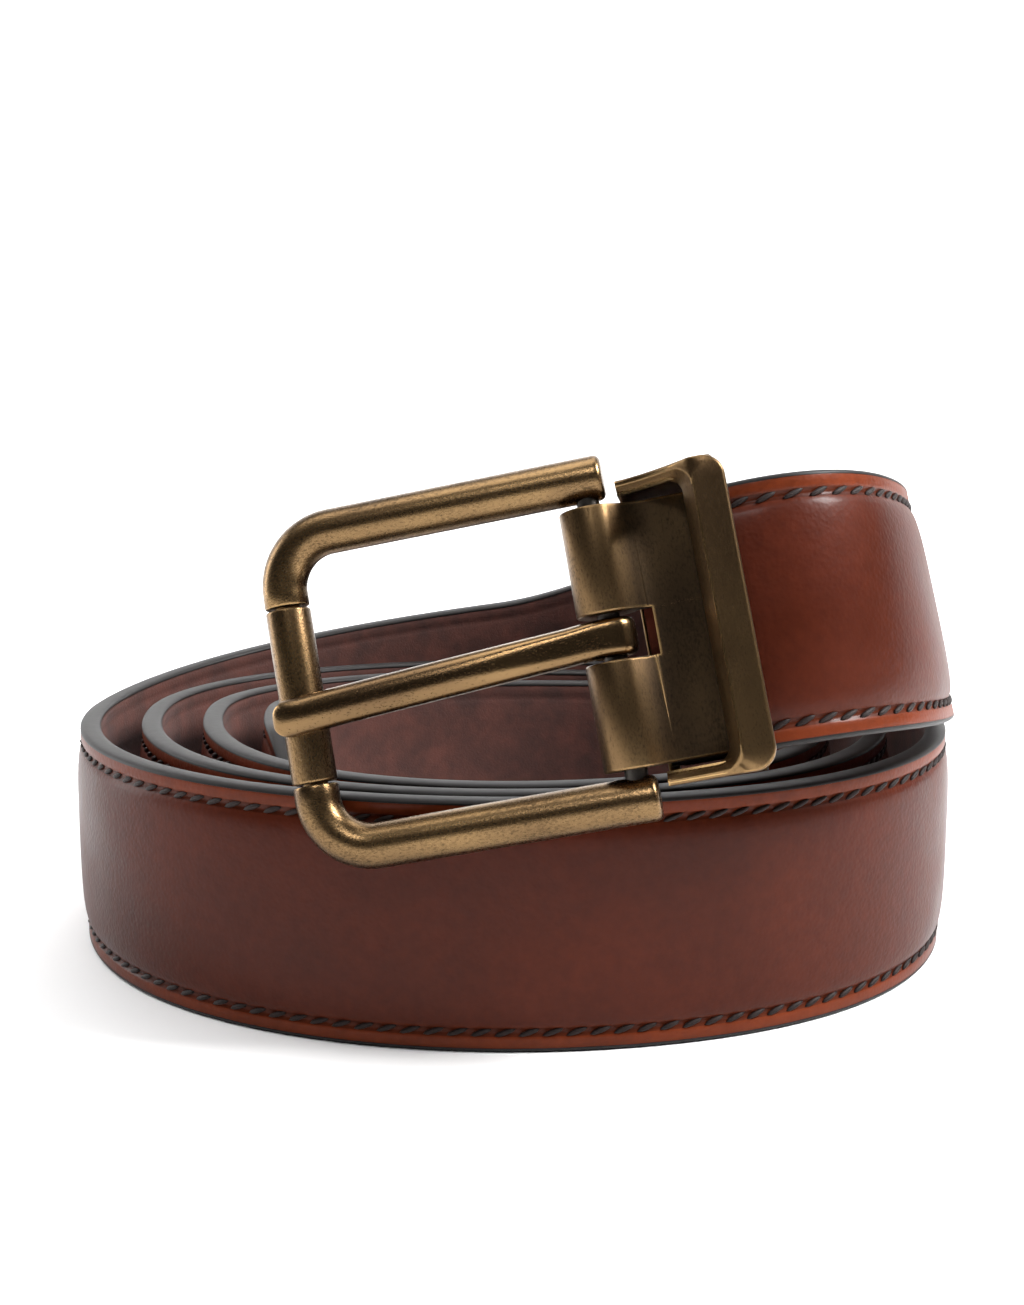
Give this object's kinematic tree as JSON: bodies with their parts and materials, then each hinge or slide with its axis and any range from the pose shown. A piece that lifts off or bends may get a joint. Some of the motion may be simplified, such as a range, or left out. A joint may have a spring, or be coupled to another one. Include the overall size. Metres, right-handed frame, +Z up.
{
  "type": "leather belt",
  "caption": "Padded leather belt rolled up on its edge, with a clamp buckle: swinging rod frame with roller, prong, hinge plate, casing with front bar, and clamp jaw.",
  "frame": {"origin": "middle of the rolled belt's footprint, at the height of the strap's lower edge", "axes": "+X to the right along the strap as it enters the buckle, +Y to the back, away from the buckle's face, +Z up across the strap's width"},
  "size_m": [0.1448, 0.1406, 0.0804],
  "materials": {
    "calf_face": "polished brown calf with a fine pebble grain and dark painted edges",
    "backing_board": "bonded leather board, its edge painted near black",
    "lining_leather": "dull dark red-brown lining with a short nap",
    "waxed_thread": "waxed dark brown thread",
    "cast_brass": "antiqued cast brass, dark patina with polished edges",
    "tube_brass": "antiqued drawn brass tube",
    "plate_brass": "antiqued pressed brass, near black in its hollow",
    "pin_steel": "dark drawn steel wire"
  },
  "bodies": {
    "belt": {"strap_face": "calf_face", "strap_core": "backing_board", "strap_lining": "lining_leather", "stitch_row_upper": "waxed_thread", "stitch_row_lower": "waxed_thread", "casing": "cast_brass", "hinge_plate": "plate_brass", "hinge_pin": "pin_steel", "jaw_pin": "pin_steel"},
    "frame": {"frame": "cast_brass"},
    "roller": {"roller": "tube_brass"},
    "prong": {"prong": "cast_brass"},
    "clamp_jaw": {"clamp_jaw": "plate_brass"}
  },
  "joints": [
    {"name": "frame_swing", "type": "hinge", "parent": "belt", "child": "frame", "pos_m": [0.0129, -0.05601, 0.05661], "axis": [-0.1687, 0.261, 0.9505], "range_deg": [0, 60]},
    {"name": "prong_swing", "type": "hinge", "parent": "frame", "child": "prong", "pos_m": [0.0129, -0.05601, 0.05661], "axis": [-0.1687, 0.261, 0.9505], "range_deg": [0, 70]},
    {"name": "roller_spin", "type": "hinge", "parent": "frame", "child": "roller", "pos_m": [-0.02782, -0.05173, 0.04821], "axis": [-0.1687, 0.261, 0.9505], "continuous": true},
    {"name": "jaw_swing", "type": "hinge", "parent": "belt", "child": "clamp_jaw", "pos_m": [0.02915, -0.05089, 0.05809], "axis": [0.1687, -0.261, -0.9505], "range_deg": [0, 60]}
  ]
}
